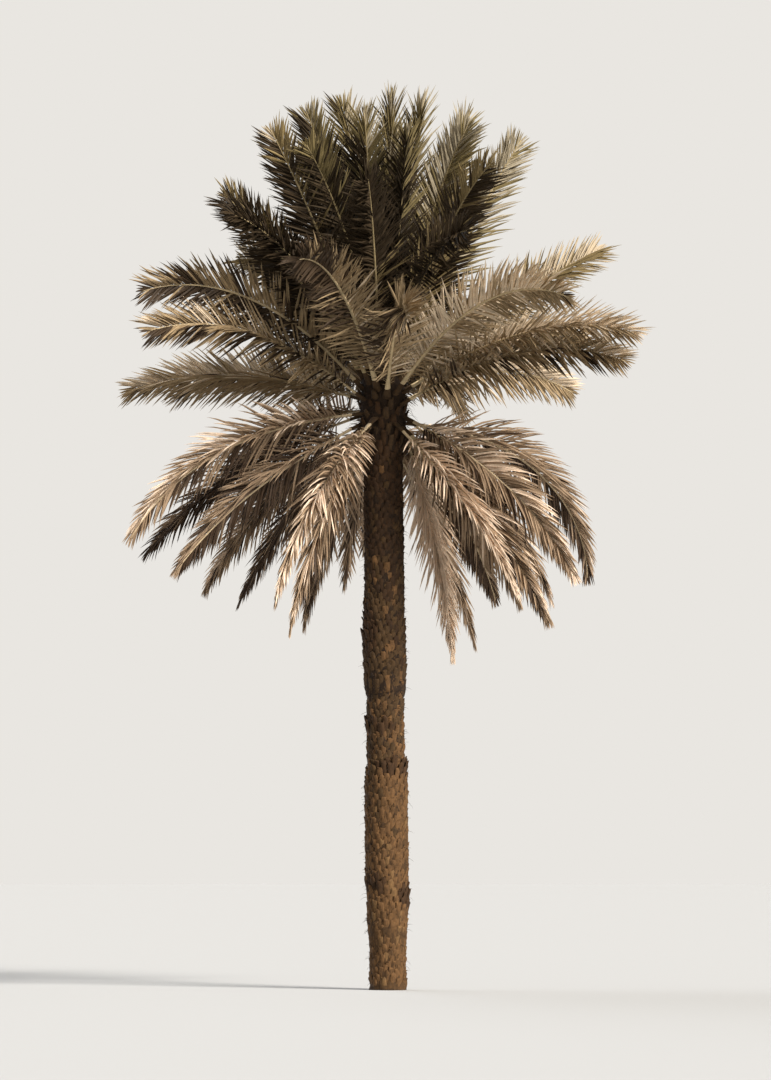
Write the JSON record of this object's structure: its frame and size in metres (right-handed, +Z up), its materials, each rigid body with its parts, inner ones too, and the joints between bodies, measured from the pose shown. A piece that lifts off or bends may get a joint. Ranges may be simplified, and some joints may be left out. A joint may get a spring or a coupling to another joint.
{
  "type": "date palm tree",
  "caption": "Free-standing date palm rooted in the ground: rough straight trunk, knot of leaf bases and a round crown of feathery fronds, upright above and drooping below",
  "frame": {"origin": "on the ground at the middle of the flat cut under the trunk", "axes": "+Z up along the trunk, the front of the picture looks along +Y, +X to the right"},
  "size_m": [6.4324, 7.009, 11.0616],
  "materials": {
    "bark": "rough dry bark of old leaf bases",
    "leaf_bases": "dark fibrous leaf bases",
    "young_fronds": "matte dusty olive leaflets",
    "full_grown_fronds": "matte dusty olive-tan leaflets",
    "old_fronds": "matte dry tan leaflets"
  },
  "bodies": {
    "root": {"drooping_frond_01": "old_fronds", "drooping_frond_02": "old_fronds", "drooping_frond_03": "old_fronds", "drooping_frond_04": "old_fronds", "drooping_frond_05": "old_fronds", "drooping_frond_06": "old_fronds", "drooping_frond_07": "old_fronds", "drooping_frond_08": "old_fronds", "drooping_frond_09": "old_fronds", "drooping_frond_10": "old_fronds", "drooping_frond_11": "old_fronds", "drooping_frond_12": "old_fronds", "drooping_frond_13": "old_fronds", "drooping_frond_14": "old_fronds", "drooping_frond_15": "old_fronds", "drooping_frond_16": "old_fronds", "drooping_frond_17": "old_fronds", "drooping_frond_18": "old_fronds", "drooping_frond_19": "old_fronds", "drooping_frond_20": "old_fronds", "heart_of_leaf_bases": "leaf_bases", "rising_frond_01": "young_fronds", "rising_frond_02": "young_fronds", "rising_frond_03": "young_fronds", "rising_frond_04": "young_fronds", "rising_frond_05": "young_fronds", "rising_frond_06": "young_fronds", "rising_frond_07": "young_fronds", "rising_frond_08": "young_fronds", "rising_frond_09": "young_fronds", "rising_frond_10": "young_fronds", "spreading_frond_01": "full_grown_fronds", "spreading_frond_02": "full_grown_fronds", "spreading_frond_03": "full_grown_fronds", "spreading_frond_04": "full_grown_fronds", "spreading_frond_05": "full_grown_fronds", "spreading_frond_06": "full_grown_fronds", "spreading_frond_07": "full_grown_fronds", "spreading_frond_08": "full_grown_fronds", "spreading_frond_09": "full_grown_fronds", "spreading_frond_10": "full_grown_fronds", "spreading_frond_11": "full_grown_fronds", "spreading_frond_12": "full_grown_fronds", "spreading_frond_13": "full_grown_fronds", "spreading_frond_14": "full_grown_fronds", "spreading_frond_15": "full_grown_fronds", "trunk": "bark", "upright_frond_01": "young_fronds", "upright_frond_02": "young_fronds", "upright_frond_03": "young_fronds", "upright_frond_04": "young_fronds", "upright_frond_05": "young_fronds", "upright_frond_06": "young_fronds", "upright_frond_07": "young_fronds", "upright_frond_08": "young_fronds", "upright_frond_09": "young_fronds", "upright_frond_10": "young_fronds", "upright_frond_11": "young_fronds", "upright_frond_12": "young_fronds", "upright_frond_13": "young_fronds"}
  },
  "joints": []
}
